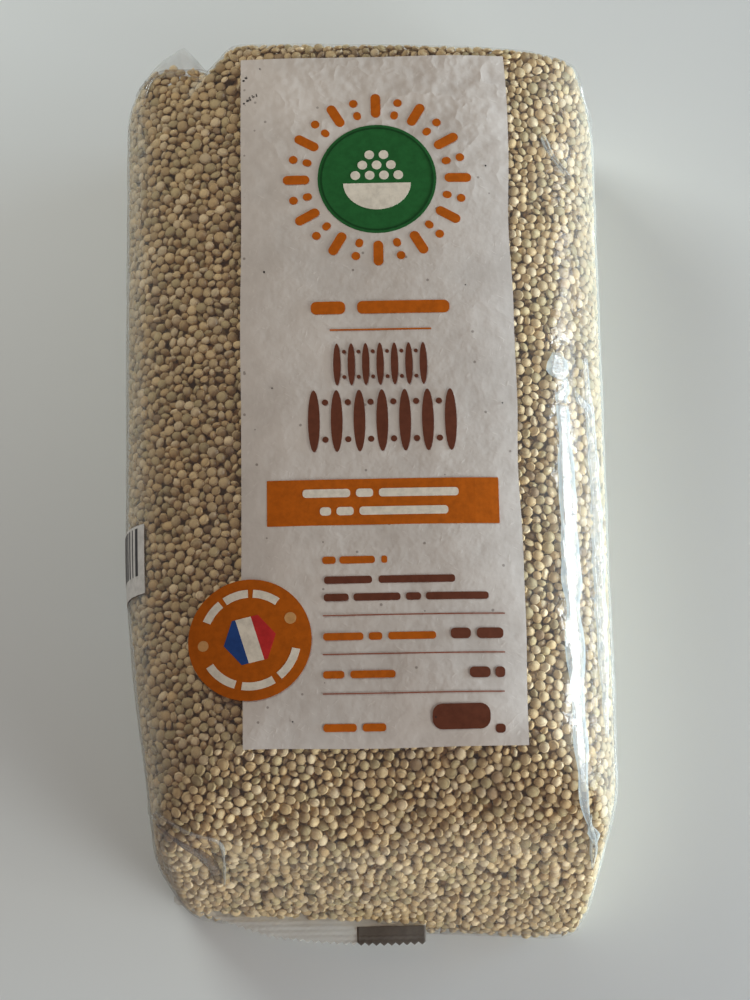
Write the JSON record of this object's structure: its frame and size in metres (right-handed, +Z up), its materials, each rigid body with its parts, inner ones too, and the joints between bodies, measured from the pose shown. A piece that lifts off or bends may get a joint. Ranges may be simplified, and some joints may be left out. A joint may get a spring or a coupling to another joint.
{
  "type": "sealed clear film bag of raw quinoa",
  "caption": "Block-shaped gusseted bag of clear film, packed tight with raw pale quinoa grains, lying on its back with a long paper front label, a round badge and crimped end seals.",
  "frame": {"origin": "on the surface that the bag lies on, under the middle of the bounding box", "axes": "+X to the right and +Y towards the top end as the front label is read, +Z up out of the front label"},
  "size_m": [0.095, 0.178, 0.0487],
  "materials": {
    "filled_film": "clear glossy film drawn tight over cream and tan grains, whose bumps show in its highlights",
    "label_paper": "matt warm grey recycled paper with fine fibres and specks, with plain orange, brown and green print",
    "badge_print": "satin burnt orange print with cream marks",
    "code_print": "pale satin print with plain dark bars"
  },
  "bodies": {
    "root": {"bag": "filled_film", "front_label": "label_paper", "origin_badge": "badge_print", "code_panel": "code_print"}
  },
  "joints": []
}
